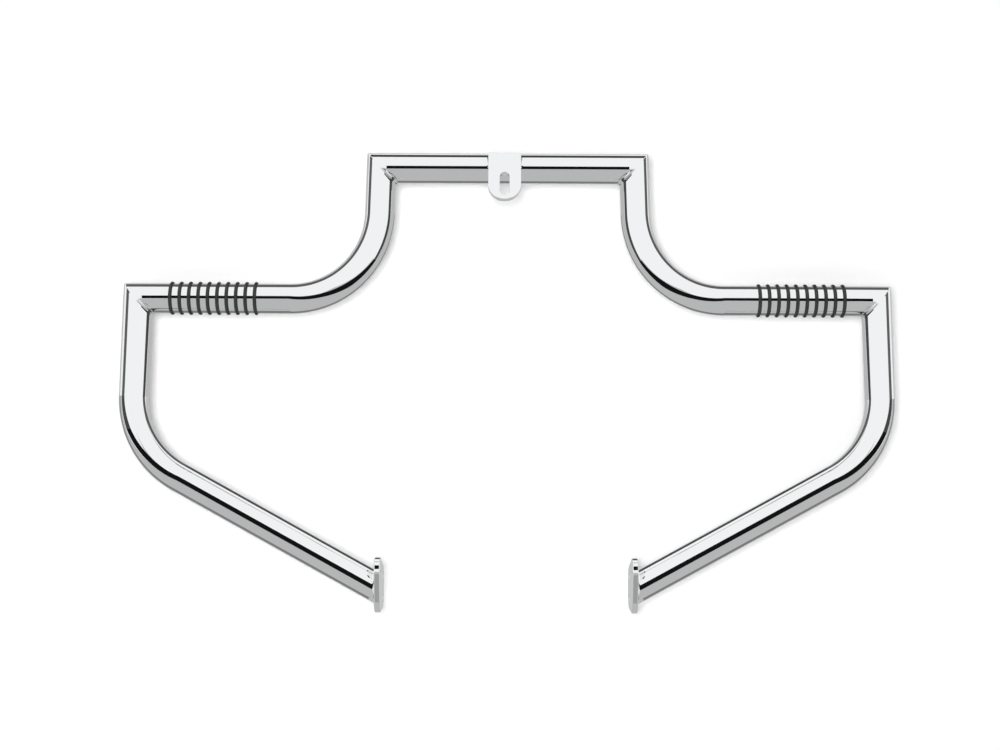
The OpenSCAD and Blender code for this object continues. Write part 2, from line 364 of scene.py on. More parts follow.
class BarLines:
    """Corners and directions of the right half's centre lines"""

    def __init__(self, sizes):
        self.level = Vector((1, 0, 0))
        self.riser = direction(sizes.riser_splay - math.pi / 2)
        self.leg = direction(sizes.leg_splay - math.pi / 2)
        self.lower = -direction(sizes.lower_fall)
        self.top = Vector((sizes.riser_half, 0, 0))
        self.shoulder = self.top + self.riser * sizes.foot_drop / math.cos(sizes.riser_splay)
        tangent = sizes.bend * math.tan((math.pi / 2 - sizes.riser_splay) / 2)
        self.foot = self.shoulder + self.level * (tangent + sizes.foot_run)
        self.lug = Vector((sizes.lug_half, 0, -sizes.lug_drop))
        fall = math.tan(sizes.lower_fall)
        leg_run = ((self.foot.z - self.lug.z - (self.foot.x - self.lug.x) * fall)
                   / (math.cos(sizes.leg_splay) + math.sin(sizes.leg_splay) * fall))
        self.knee = self.foot + self.leg * leg_run
        self.top_mitre = (self.level + self.riser).normalized()
        self.foot_mitre = (self.level + self.leg).normalized()


def bend_stations(start, corner, end, bend):
    """Centres and runs of the rings along a bend that replaces the corner"""
    run_in = (corner - start).normalized()
    run_out = (end - corner).normalized()
    turn = run_in.angle(run_out)
    inward = (run_out - run_in * run_in.dot(run_out)).normalized()
    centre = corner - run_in * bend * math.tan(turn / 2) + inward * bend
    steps = math.ceil(math.degrees(turn) / BEND_STEP)
    stations = []
    for i in range(steps + 1):
        a = turn * i / steps
        run = run_in * math.cos(a) + inward * math.sin(a)
        outward = run_in * math.sin(a) - inward * math.cos(a)
        stations.append((centre + outward * bend, run))
    return stations


def mitred_start(corner, run, mitre, sizes):
    """Rings of a tube's mitred start from the bore out to the surface, cut back for the bead"""
    r = sizes.diameter / 2
    return [cut_ring(corner, run, mitre, r - sizes.wall),
            cut_ring(corner, run, mitre, r - sizes.bead_depth),
            cut_ring(corner, run, mitre, r, -sizes.bead)]


def mitred_end(corner, run, mitre, sizes):
    """Rings of a tube's mitred end from the surface, cut back for the bead, in to the bore"""
    r = sizes.diameter / 2
    return [cut_ring(corner, run, mitre, r, sizes.bead),
            cut_ring(corner, run, mitre, r - sizes.bead_depth),
            cut_ring(corner, run, mitre, r - sizes.wall)]


def groove_rings(lines, sizes, rings):
    """Rings of the foot tube's outside, dipping into the grooves, from the bend outward"""
    r = sizes.diameter / 2
    floor = rings.outside - rings.thick - rings.play
    half = rings.thick / 2 + rings.play
    made = []
    for i in range(rings.count, 0, -1):
        low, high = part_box("right_ring_%d" % i)
        middle = (low.x + high.x) / 2
        for offset, radius in ((-half - rings.groove_edge, r), (-half, r - rings.groove_edge),
                               (-half, floor), (half, floor), (half, r - rings.groove_edge),
                               (half + rings.groove_edge, r)):
            centre = Vector((middle + offset, 0, lines.foot.z))
            made.append(ring_at(centre, lines.level, radius))
    return made


class CRASHBAR_OT_tubes(bpy.types.Operator):
    """Make the five chromed tubes with their bends, mitres and ring grooves"""

    bl_idname = "crash_bar.tubes"
    bl_label = "Make Tubes"

    def execute(self, context):
        sizes = context.scene.crash_bar_tubes
        rings = context.scene.crash_bar_rings
        lines = BarLines(sizes)
        r = sizes.diameter / 2
        bore = r - sizes.wall
        self.cross_tube(lines, sizes)
        for side in SIDES:
            stations = bend_stations(lines.top, lines.shoulder, lines.foot, sizes.bend)
            outer = [ring_at(p, run, r) for p, run in stations]
            outer += groove_rings(lines, sizes, rings)
            self.tube(side, "shoulder_tube",
                      mitred_start(lines.top, lines.riser, lines.top_mitre, sizes),
                      outer,
                      mitred_end(lines.foot, lines.level, lines.foot_mitre, sizes),
                      [ring_at(p, run, bore) for p, run in stations[::BORE_STEP]])
            stations = bend_stations(lines.foot, lines.knee, lines.lug, sizes.bend)
            self.tube(side, "leg_tube",
                      mitred_start(lines.foot, lines.leg, lines.foot_mitre, sizes),
                      [ring_at(p, run, r) for p, run in stations],
                      [cut_ring(lines.lug, lines.lower, lines.level, r),
                       cut_ring(lines.lug, lines.lower, lines.level, bore)],
                      [ring_at(p, run, bore) for p, run in stations[::BORE_STEP]])
        return {"FINISHED"}

    def cross_tube(self, lines, sizes):
        """Straight tube between the two mirrored ends"""
        right = mitred_end(lines.top, lines.level, lines.top_mitre, sizes)
        left = [[mirrored(p, "left") for p in ring] for ring in right[::-1]]
        make_piece("chromed_cross_tube", loft(left + right), "chromed_tube", "cross_tube",
                   TUBE_SHARP)

    def tube(self, side, name, start, outside, end, bore):
        """Closed wall of a tube, from its start over the outside to its end and back through
        the bore"""
        node = "%s_%s" % (side, name)
        rings = [[mirrored(p, side) for p in ring]
                 for ring in start + outside + end + bore[::-1]]
        make_piece("chromed_" + node, loft(rings), "chromed_tube", node, TUBE_SHARP)


# Steps across a bead or fillet and along a tab fillet, and the share of its reach that a tab
# fillet keeps at its ends
BEAD_STEPS = 12
TAB_WELD_STEPS = 24
TAB_WELD_ENDS = 0.08


def blended(start, corner, end, crest=None):
    """Points of a soft curve from start to end that the corner pulls on, raised in its middle
    by a crest"""
    points = []
    for i in range(BEAD_STEPS + 1):
        u = i / BEAD_STEPS
        point = start * (1 - u) ** 2 + corner * 2 * u * (1 - u) + end * u ** 2
        if crest is not None:
            # The fourth power keeps the crest narrow and its feet flat
            point += crest * math.sin(math.pi * u) ** 4
        points.append(point)
    return points


def mitre_sections(corner, run_in, run_out, mitre, sizes):
    """Closed sections of the polished bead round a mitre"""
    r = sizes.diameter / 2
    before = cut_ring(corner, run_in, mitre, r, sizes.bead)
    edge = cut_ring(corner, run_in, mitre, r)
    after = cut_ring(corner, run_out, mitre, r, -sizes.bead)
    root = cut_ring(corner, run_in, mitre, r - sizes.bead_depth)
    normals_in = ring_at(Vector(), run_in, 1)
    normals_out = ring_at(Vector(), run_out, 1)
    return [blended(before[k], edge[k], after[k],
                    (normals_in[k] + normals_out[k]).normalized() * sizes.bead_crest)
            + [root[k]] for k in range(AROUND)]


def lug_sections(lines, sizes):
    """Closed sections of the fillet between a leg's end and its lug"""
    r = sizes.diameter / 2
    before = cut_ring(lines.lug, lines.lower, lines.level, r, sizes.fillet)
    edge = cut_ring(lines.lug, lines.lower, lines.level, r)
    sections = []
    for k, normal in enumerate(ring_at(Vector(), lines.lower, 1)):
        on_face = Vector((0, normal.y, normal.z)).normalized()
        on_lug = edge[k] + on_face * sizes.fillet
        sections.append(blended(before[k], edge[k], on_lug) + [edge[k]])
    return sections


class CRASHBAR_OT_welds(bpy.types.Operator):
    """Make the polished beads at the mitres, lugs and tab"""

    bl_idname = "crash_bar.welds"
    bl_label = "Make Welds"

    def execute(self, context):
        sizes = context.scene.crash_bar_tubes
        plates = context.scene.crash_bar_plates
        lines = BarLines(sizes)
        for side in SIDES:
            self.weld(side, "top_weld", mitre_sections(
                lines.top, lines.level, lines.riser, lines.top_mitre, sizes))
            self.weld(side, "corner_weld", mitre_sections(
                lines.foot, lines.level, lines.leg, lines.foot_mitre, sizes))
            self.weld(side, "lug_weld", lug_sections(lines, sizes))
            self.tab_weld(side, sizes, plates)
        return {"FINISHED"}

    def weld(self, side, name, sections):
        """Bead or fillet that runs all round a tube"""
        node = "%s_%s" % (side, name)
        sections = [[mirrored(p, side) for p in section] for section in sections]
        make_piece("chromed_" + node, loft(sections), "chromed_weld", node, WELD_SHARP)

    def tab_weld(self, side, sizes, plates):
        """Fillet between one side of the tab and the cross tube, which thins to its ends"""
        node = "%s_tab_weld" % side
        r = sizes.diameter / 2
        edge = Vector((plates.tab_w / 2, 0, 0))
        sections = []
        for i in range(TAB_WELD_STEPS + 1):
            share = i / TAB_WELD_STEPS
            turn = plates.tab_weld_turn * (share - 0.5) + plates.tab_lean
            outward = Vector((0, -math.cos(turn), math.sin(turn)))
            reach = plates.tab_weld * max(TAB_WELD_ENDS, math.sqrt(math.sin(math.pi * share)))
            root = edge + outward * r
            points = blended(root + Vector((reach, 0, 0)), root, root + outward * reach)
            points.append(root)
            sections.append([mirrored(p, side) + Vector((plates.tab_shift, 0, 0))
                             for p in points])
        make_piece("chromed_" + node, loft(sections, True), "chromed_weld", node, WELD_SHARP)


def arc(centre_x, centre_y, radius, start, end, steps):
    """Points and outward normals along an arc, with angles in degrees"""
    made = []
    for i in range(steps + 1):
        a = math.radians(start + (end - start) * i / steps)
        normal = Vector((math.cos(a), math.sin(a)))
        made.append((Vector((centre_x, centre_y)) + normal * radius, normal))
    return made


# Least length that an outline's step is taken to have where two of its points coincide
LEAST_STEP = 1e-12


def evenly(outline, count):
    """An outline's points and normals, taken again at even steps of its length"""
    outline = outline + outline[:1]
    reach = [0]
    for (a, _), (b, _) in zip(outline, outline[1:]):
        reach.append(reach[-1] + (b - a).length)
    made = []
    i = 0
    for k in range(count):
        want = reach[-1] * k / count
        while reach[i + 1] < want:
            i += 1
        share = (want - reach[i]) / max(reach[i + 1] - reach[i], LEAST_STEP)
        (a, normal_a), (b, normal_b) = outline[i], outline[i + 1]
        made.append((a.lerp(b, share), normal_a.lerp(normal_b, share).normalized()))
    return made


# Flats of the tab's corners, its round end and each end of its slot, points round its
# outline, flats across a polished edge, and the loops across its face as shares of the way
# from its edge to the slot
CORNER_FLATS = 8
END_FLATS = 64
SLOT_FLATS = 32
TAB_POINTS = 360
EDGE_STEPS = 5
FACE_SHARES = (0.01, 0.02, 0.03, 0.04, 0.055, 0.07, 0.085, 0.1, 0.115, 0.13, 0.16)


class CRASHBAR_OT_tab(bpy.types.Operator):
    """Make the slotted tab that takes the top bolt"""

    bl_idname = "crash_bar.tab"
    bl_label = "Make Tab"

    def execute(self, context):
        sizes = context.scene.crash_bar_tubes
        plates = context.scene.crash_bar_plates
        outer = evenly(self.outline(plates), TAB_POINTS)
        slot = evenly(self.slot(plates), TAB_POINTS)
        lean = plates.tab_lean
        up = Vector((0, math.sin(lean), math.cos(lean)))
        out = Vector((0, -math.cos(lean), math.sin(lean)))
        rings = []
        for (point, normal), (inner, inner_normal) in zip(outer, slot):
            section = self.section(point, normal, plates, inner, inner_normal)
            rings.append([
                Vector((plates.tab_shift + p.x, 0, 0)) + up * p.y
                + out * (sizes.diameter / 2 + depth) for p, depth in section])
        piece = make_piece("chromed_mount_tab", loft(rings), "chromed_plate", "mount_tab",
                           TAB_SHARP)
        flatten(piece)
        return {"FINISHED"}

    def outline(self, plates):
        """Points and normals round the tab from the middle of its top edge"""
        half = plates.tab_w / 2
        top = plates.tab_rise
        c = plates.tab_corner
        end = top - plates.tab_len + half
        made = [(Vector((0, top)), Vector((0, 1)))]
        made += arc(half - c, top - c, c, 90, 0, CORNER_FLATS)
        made += arc(0, end, half, 0, -180, END_FLATS)
        made += arc(c - half, top - c, c, 180, 90, CORNER_FLATS)
        return made

    def slot(self, plates):
        """Points and normals round the slot from its top"""
        r = plates.slot_w / 2
        low = plates.tab_rise - plates.tab_len + plates.slot_edge + r
        high = low + plates.slot_len - 2 * r
        made = arc(0, high, r, 90, 0, SLOT_FLATS // 2)
        made += arc(0, low, r, 0, -180, SLOT_FLATS)
        made += arc(0, high, r, 180, 90, SLOT_FLATS // 2)
        return made

    def section(self, point, normal, plates, inner, inner_normal):
        """Closed section through the plate, as points of its outline and their depth"""
        thick, edge = plates.tab_thick, plates.edge
        quarter = [math.pi / 2 * i / EDGE_STEPS for i in range(EDGE_STEPS + 1)]
        rims = [(1 - math.sin(a), 1 - math.cos(a)) for a in quarter]
        made = [(point - normal * edge * inward, thick - edge * down)
                for inward, down in rims]
        made += [(point - normal * edge * inward, edge * down)
                 for inward, down in rims[::-1]]
        made += [(inner + inner_normal * edge * inward, edge * down)
                 for inward, down in rims]
        made += [(inner + inner_normal * edge * inward, thick - edge * down)
                 for inward, down in rims[::-1]]
        # Loops across the face, close together where its top edge is rounded
        start = point - normal * edge
        end = inner + inner_normal * edge
        made += [(start.lerp(end, share), thick) for share in FACE_SHARES[::-1]]
        return [(p, min(depth, self.face_depth(p.y, plates))) for p, depth in made]

    def face_depth(self, height, plates):
        """Depth of the tab's face, which curves back at its top edge"""
        r = plates.tab_round
        over = max(0, height - (plates.tab_rise - r))
        return plates.tab_thick - r + math.sqrt(max(0, r * r - over * over))


# Flats of a lug's corners and bolt holes, the resolution of its rounded edges, and how close
# to each other points are joined
LUG_FLATS = 24
HOLE_FLATS = 48
LUG_EDGE_RESOLUTION = 3
JOIN_WITHIN = 0.001 * MM


class CRASHBAR_OT_lugs(bpy.types.Operator):
    """Make the two bolt-on lugs"""

    bl_idname = "crash_bar.lugs"
    bl_label = "Make Lugs"

    def execute(self, context):
        plates = context.scene.crash_bar_plates
        middle = LUG_HIGH.x - plates.lug_thick / 2
        for side in SIDES:
            shape = self.shape(plates)
            mesh = bpy.data.meshes.new_from_object(shape)
            outline = shape.data
            bpy.data.objects.remove(shape)
            bpy.data.curves.remove(outline)
            shell = bmesh.new()
            shell.from_mesh(mesh)
            bpy.data.meshes.remove(mesh)
            bmesh.ops.remove_doubles(shell, verts=shell.verts, dist=JOIN_WITHIN)
            for vert in shell.verts:
                back, height, out = vert.co
                vert.co = mirrored(Vector((middle + out, back, height)), side)
            node = "%s_lug" % side
            piece = make_piece("chromed_" + node, shell, "chromed_plate", node, LUG_SHARP)
            flatten(piece)
        return {"FINISHED"}

    def shape(self, plates):
        """Flat curve of the lug's outline and holes, extruded with rounded edges"""
        curve = bpy.data.curves.new("lug_outline", "CURVE")
        curve.dimensions = "2D"
        curve.fill_mode = "BOTH"
        curve.extrude = plates.lug_thick / 2 - plates.lug_edge
        curve.bevel_depth = plates.lug_edge
        curve.bevel_resolution = LUG_EDGE_RESOLUTION
        curve.offset = -plates.lug_edge
        r = plates.lug_round
        front, back = LUG_LOW.y + r, LUG_HIGH.y - r
        low, high = LUG_LOW.z + r, LUG_HIGH.z - r
        lean = math.degrees(math.atan2(plates.lug_set_back, high - low))
        fall = math.degrees(math.atan2(plates.lug_fall, back - front))
        outline = arc(front, high, r, 180 + lean, 90 - fall, LUG_FLATS)
        outline += arc(back, high - plates.lug_fall, r, 90 - fall, 0, LUG_FLATS)
        outline += arc(back, low, r, 0, -90, LUG_FLATS)
        outline += arc(front + plates.lug_set_back, low, r, -90, -180 + lean, LUG_FLATS)
        self.add_loop(curve, outline)
        middle = (LUG_LOW.z + LUG_HIGH.z) / 2 - plates.bolt_drop
        for up in (-1, 1):
            # The whole circle's last point would be its first again, so it is left out
            self.add_loop(curve, arc(plates.bolt_back, middle + up * plates.bolt_pitch / 2,
                                     plates.bolt_d / 2, 0, 360, HOLE_FLATS)[:-1])
        shape = bpy.data.objects.new("lug_outline", curve)
        bpy.context.scene.collection.objects.link(shape)
        return shape

    def add_loop(self, curve, outline):
        """Closed straight-sided loop through an outline's points"""
        spline = curve.splines.new("POLY")
        spline.points.add(len(outline) - 1)
        for spot, (point, _) in zip(spline.points, outline):
            spot.co = (point.x, point.y, 0, 1)
        spline.use_cyclic_u = True


# Flats round a ring's section
RING_FLATS = 20


class CRASHBAR_OT_rings(bpy.types.Operator):
    """Make the rubber rings on both foot tubes"""

    bl_idname = "crash_bar.rings"
    bl_label = "Make Rings"

    def execute(self, context):
        rings = context.scene.crash_bar_rings
        for side in SIDES:
            for i in range(1, rings.count + 1):
                self.ring(side, i, rings)
        return {"FINISHED"}

    def ring(self, side, i, rings):
        """Round-sectioned ring in the middle of its CAD node's box"""
        node = "%s_ring_%d" % (side, i)
        low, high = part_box(node)
        centre = (low + high) / 2
        r = rings.thick / 2
        loops = []
        for k in range(AROUND):
            a = 2 * math.pi * k / AROUND
            outward = Vector((0, math.cos(a), math.sin(a)))
            loop = []
            for j in range(RING_FLATS):
                b = 2 * math.pi * j / RING_FLATS
                # The moulding seam stands a hair above the ring's outer line
                seam = rings.seam if j == 0 else 0
                loop.append(centre + outward * (rings.outside - rings.seam - r)
                            + outward * math.cos(b) * (r + seam)
                            + Vector((math.sin(b) * r, 0, 0)))
            loops.append(loop)
        make_piece("rubber_" + node, loft(loops), "rubber_ring", node, RING_SHARP)


def reflected_only(name, vertices, faces, grey):
    """A glowing sheet or strip that only reflections show, which paints a reflection into the
    chrome
    """
    mesh = bpy.data.meshes.new(name)
    mesh.from_pydata(vertices, [], faces)
    made = bpy.data.objects.new(name, mesh)
    bpy.context.scene.collection.objects.link(made)
    made.visible_camera = False
    made.visible_diffuse = False
    made.visible_shadow = False
    made.visible_transmission = False
    material, tree, output = new_material(name)
    # The glow paints its grey into the chrome as a reflection, and lights nothing
    glow = add_node(tree, "ShaderNodeEmission", {"Color": linear(grey), "Strength": 1})
    tree.links.new(glow.outputs["Emission"], output.inputs["Surface"])
    mesh.materials.append(material)


def card(name, first, second, grey):
    """Flat glowing sheet of painted reflection between two points of the right half and their
    mirror images
    """
    corners = [mirrored(first, "left"), first, second, mirrored(second, "left")]
    reflected_only(name, corners, [(0, 1, 2, 3)], grey)


def straight(start, end, steps=16):
    """Centres and runs of evenly spaced stations along a straight tube"""
    run = (end - start).normalized()
    return [(start.lerp(end, i / steps), run) for i in range(steps + 1)]


def along(marks, share):
    """Value at a share of the way along evenly spaced marks"""
    if len(marks) == 1:
        return marks[0]
    place = share * (len(marks) - 1)
    i = min(int(place), len(marks) - 2)
    return marks[i] + (marks[i + 1] - marks[i]) * (place - i)


# Greys that the strips and cards glow with, which paint reflected lines, shades and a white strip
# into the chrome
BLACK = "141414"
DARK = "484848"
GREY = "606060"
SHADE = "808080"
LUG_GREY = "a4a4a4"
PALE = "c0c0c0"
BACK_GREY = "c6c6c6"
WHITE = "ffffff"

# Where a painted reflection strip starts beside a mitre, as shares of the tube's radius past the
# corner on the inner side and before it on the outer side, and how far a painted middle line stays
# off a bead
INNER_START = 0.7
OUTER_START = 0.8
LINE_GAP = 3 * MM

# Steps along a painted reflection streak beside a mitre, and its width at its start, which doubles
# to its end
STREAK_STEPS = 12
STREAK_WIDTH = 1.2 * MM


class Flags:
    """Narrow glowing strips that hang close to the chrome, follow its tubes and paint the
    reflected lines and shades in it, set where a look from straight ahead lands after the chrome
    mirrors it. They are laid out on the right half and mirrored for the left. Each lies between
    two angles in degrees round its tube, from the tube's foremost line, where up is positive on a
    level tube and outward on the others. A strip with more than one pair of angles turns or widens
    from pair to pair, and its pairs are evenly spaced along it."""

    def __init__(self, context, side):
        self.sizes = context.scene.crash_bar_tubes
        self.reach = context.scene.crash_bar_studio.flag_reach
        self.side = side
        self.radius = self.sizes.diameter / 2
        self.lines = BarLines(self.sizes)

    def spot(self, point, normal):
        """Place a reach away from a point of the surface, on the way that a look from
        straight ahead takes after the surface mirrors it there"""
        ahead = Y_AXIS - 2 * Y_AXIS.dot(normal) * normal
        return mirrored(point + ahead * self.reach, self.side)

    def facing(self, run, degrees_round):
        """Normal of a tube at an angle round it"""
        turn = math.radians(degrees_round)
        return across(run) * math.sin(turn) - Y_AXIS * math.cos(turn)

    def ribbon(self, name, spots, grey):
        """Painted reflection strip through pairs of spots"""
        faces = [(i, i + 1, i + 3, i + 2) for i in range(0, len(spots) - 2, 2)]
        reflected_only("%s_%s" % (name, self.side), spots, faces, grey)

    def hang(self, name, stations, radius, grey, *pairs):
        """Painted reflection strip along stations, at a radius from them, between pairs of angles
        """
        spots = []
        for k, (centre, run) in enumerate(stations):
            share = k / (len(stations) - 1)
            for marks in zip(*pairs):
                out = self.facing(run, along(marks, share))
                spots.append(self.spot(centre + out * radius, out))
        self.ribbon(name, spots, grey)

    def streak(self, name, corner, run, mitre, start, end, grey):
        """Painted reflection streak on a tube beside its mitre's bead, between two angles round
        the tube
        """
        spots = []
        for k in range(STREAK_STEPS + 1):
            share = k / STREAK_STEPS
            out = self.facing(run, start + (end - start) * share)
            on_line = corner + out * self.radius
            before = (corner - on_line).dot(mitre) / run.dot(mitre)
            cut = on_line + run * (before + self.sizes.bead)
            for past in (0, STREAK_WIDTH * (1 + share)):
                spots.append(self.spot(cut + run * past, out))
        self.ribbon(name, spots, grey)

    def shoulder(self):
        """Stations along the shoulder's bend"""
        lines = self.lines
        return bend_stations(lines.top, lines.shoulder, lines.foot, self.sizes.bend)

    def knee(self):
        """Stations along the knee's bend"""
        lines = self.lines
        return bend_stations(lines.foot, lines.knee, lines.lug, self.sizes.bend)

    def on_cross_tube(self):
        """Painted reflections of the black middle line from the tab to the mitre, and of the dark
        edges above and below
        """
        r, top, level = self.radius, self.lines.top, self.lines.level
        tab_edge = {"left": -TAB_LOW.x, "right": TAB_HIGH.x}[self.side]
        middle_line = straight(level * tab_edge, top - level * (self.sizes.bead + LINE_GAP))
        above = straight(Vector(), top + level * r * OUTER_START)
        below = straight(Vector(), top - level * r)
        self.hang("cross_axis", middle_line, r, BLACK, (-7, 4))
        self.hang("cross_top", above, r, DARK, (43, 58.5))
        self.hang("cross_below", below, r, SHADE, (-83, -62))

    def on_riser(self):
        """Painted reflections of the line and soft shade of the riser's inner side, and of its
        outer edge
        """
        r, top, riser = self.radius, self.lines.top, self.lines.riser
        bend_start = self.shoulder()[0][0]
        inner = straight(top + riser * r * INNER_START, bend_start)
        outer = straight(top - riser * r * OUTER_START, bend_start)
        self.hang("riser_inner", inner, r, DARK, (-49, -37.5))
        self.hang("riser_shade", inner, r, PALE, (-73, -50.5))
        self.hang("riser_outer", outer, r, GREY, (38, 52.5))

    def on_shoulder(self):
        """Painted reflections of the riser's line, which swells to a black band on its way round
        the bend to the foot tube, with painted white above it and painted shades below"""
        r = self.radius
        bend = self.shoulder()
        band_start = len(bend) // 3
        self.hang("shoulder_line", bend[:band_start], r, DARK, (-49, -37.5), (-44.5, -34.5))
        self.hang("shoulder_band", bend[band_start - 1:], r, BLACK,
                  (-44.5, -33.5), (-37.5, -16.5), (-17.5, -2.5), (-2.5, 8.5))
        self.hang("shoulder_light", bend, r, WHITE, (-36, -28), (-36, -11.5), (-29.5, 11.5),
                  (-18.5, 14.5), (-3.5, 15), (2.5, 13), (8.5, 10))
        self.hang("shoulder_shade", bend, r, PALE,
                  (-73, -50.5), (-71.5, -44.5), (-66, -31.5), (-57.5, -2.5))
        self.hang("shoulder_below", bend, r, SHADE, (-82, -74.5), (-82, -61))
        self.hang("shoulder_outer", bend, r, GREY, (38, 52.5), (48.5, 67.5))

    def on_foot(self):
        """Painted reflections of the foot tube's black middle line, and of the edges above and
        below
        """
        r, foot, level = self.radius, self.lines.foot, self.lines.level
        bend_end = self.shoulder()[-1][0]
        middle_line = straight(bend_end, foot - level * (self.sizes.bead + LINE_GAP))
        above = straight(bend_end, foot + level * r * OUTER_START)
        below = straight(bend_end, foot - level * r)
        self.hang("foot_axis", middle_line, r, BLACK, (-2.5, 8.5))
        self.hang("foot_top", above, r, GREY, (48.5, 67.5))
        self.hang("foot_below", below, r, SHADE, (-78.5, -57.5))

    def on_leg(self):
        """Painted reflections of the line and soft shade of the leg's inner side, and of its outer
        edge
        """
        r, foot, leg = self.radius, self.lines.foot, self.lines.leg
        bend_start = self.knee()[0][0]
        inner = straight(foot + leg * r * INNER_START, bend_start)
        outer = straight(foot - leg * r * OUTER_START, bend_start)
        self.hang("leg_inner", inner, r, DARK, (-60.5, -45.5), (-55.5, -44.5))
        self.hang("leg_shade", inner, r, PALE, (-81, -62), (-81, -57))
        self.hang("leg_outer", outer, r, GREY, (30, 44.5))

    def on_knee(self):
        """Painted reflections of the leg's outer line, which swells to a black band on its way
        round the bend, with the inner edge above it and painted shades below"""
        r = self.radius
        bend = self.knee()
        band_start = len(bend) // 3
        self.hang("knee_inner", bend, r, GREY, (-55.5, -44.5), (-79, -62.5))
        self.hang("knee_line", bend[:band_start], r, DARK, (30, 44.5), (20.5, 41))
        self.hang("knee_band", bend[band_start - 1:], r, BLACK, (20.5, 41), (3, 23), (-9, 8.5))
        self.hang("knee_shade", bend, r, PALE, (45.5, 55.5), (43, 55), (23, 51), (8.5, 48))
        self.hang("knee_below", bend, r, SHADE, (55.5, 63), (48, 66.5))

    def on_lower_run(self):
        """Painted reflections of the lower run's black middle line, and of the edges above and
        below
        """
        r = self.radius
        whole = straight(self.knee()[-1][0], self.lines.lug)
        self.hang("lower_axis", whole, r, BLACK, (-9, 8.5))
        self.hang("lower_top", whole, r, DARK, (-79, -62))
        self.hang("lower_below", whole, r, SHADE, (48, 67))

    def at_mitres(self):
        """Painted black reflection streaks beside the beads"""
        lines = self.lines
        self.streak("top_streak", lines.top, lines.riser, lines.top_mitre, -13, -53, BLACK)
        self.streak("foot_streak", lines.foot, lines.leg, lines.foot_mitre, -21, -61, BLACK)

    def on_lug(self, plates):
        """Painted reflections of the lines in a lug's rounded upper corner, and of the grey on its
        front edge
        """
        r = plates.lug_round
        half = Vector((plates.lug_thick / 2, 0, 0))
        corner = Vector((LUG_HIGH.x - half.x, LUG_LOW.y + r, LUG_HIGH.z - r))
        stations = straight(corner - half, corner + half, 1)
        self.hang("lug_cap", stations, r, DARK, (66, 89))
        self.hang("lug_line", stations, r, BLACK, (12.5, 29.5))
        # The front edge leans back towards its foot, and its painted reflection is a little darker
        # than the floor
        height = LUG_HIGH.z - LUG_LOW.z - 2 * r
        lean = math.atan2(plates.lug_set_back, height)
        normal = Vector((0, -math.cos(lean), -math.sin(lean)))
        foot = corner - Vector((0, -plates.lug_set_back, height))
        self.ribbon("lug_edge", [self.spot(end + way + normal * r, normal)
                                 for end in (corner, foot) for way in (-half, half)], LUG_GREY)


def face_to(lamp, target):
    """Turns a lamp towards a point"""
    lamp.rotation_euler = (target - lamp.location).to_track_quat("-Z", "Y").to_euler()


class StudioSizes(bpy.types.PropertyGroup):
    """Sizes and levels of the studio"""

    paper_back: length("Paper", "Distance of the background paper behind the tubes' plane",
                       55 * MM)
    paper_half: length("Paper half", "Half the width of the background paper", 1.8)
    paper_top: length("Paper top", "Height of the paper above the cross tube", 1.2)
    floor_drop: length("Floor", "Floor below the cross tube's centre line", 0.65)
    floor_half: length("Floor half", "Half the width and depth of the floor", 3)
    # The strips are painted reflections that glow only in the chrome
    flag_reach: length("Painted strip reach", "Distance of the narrow flags from the chrome", 5 * MM)
    fill: bpy.props.FloatProperty(
        name="Fill", description="Level of the even light from all round", default=0.13)
    key: bpy.props.FloatProperty(
        name="Key", description="Power of the soft lamp beside the camera", default=31,
        unit="POWER")
    key_size: length("Key size", "Diameter of the lamp beside the camera", 0.52)
    overhead: bpy.props.FloatProperty(
        name="Overhead", description="Power of the soft lamp over the bar", default=13,
        unit="POWER")
    overhead_size: length("Overhead size", "Diameter of the lamp over the bar", 1.6)
    lens: bpy.props.FloatProperty(
        name="Lens", description="Focal length on a 36 mm sensor", default=59.4)
    distance: length("Distance", "Camera's distance from the tubes' plane", 1.770)
    eye_side: length("Eye side", "Camera to the side of the bar's middle", -0.0075)
    eye_height: length("Eye height", "Camera's height above the cross tube", -0.2214)
    roll: turned("Roll", "How far the picture leans", 0.255)


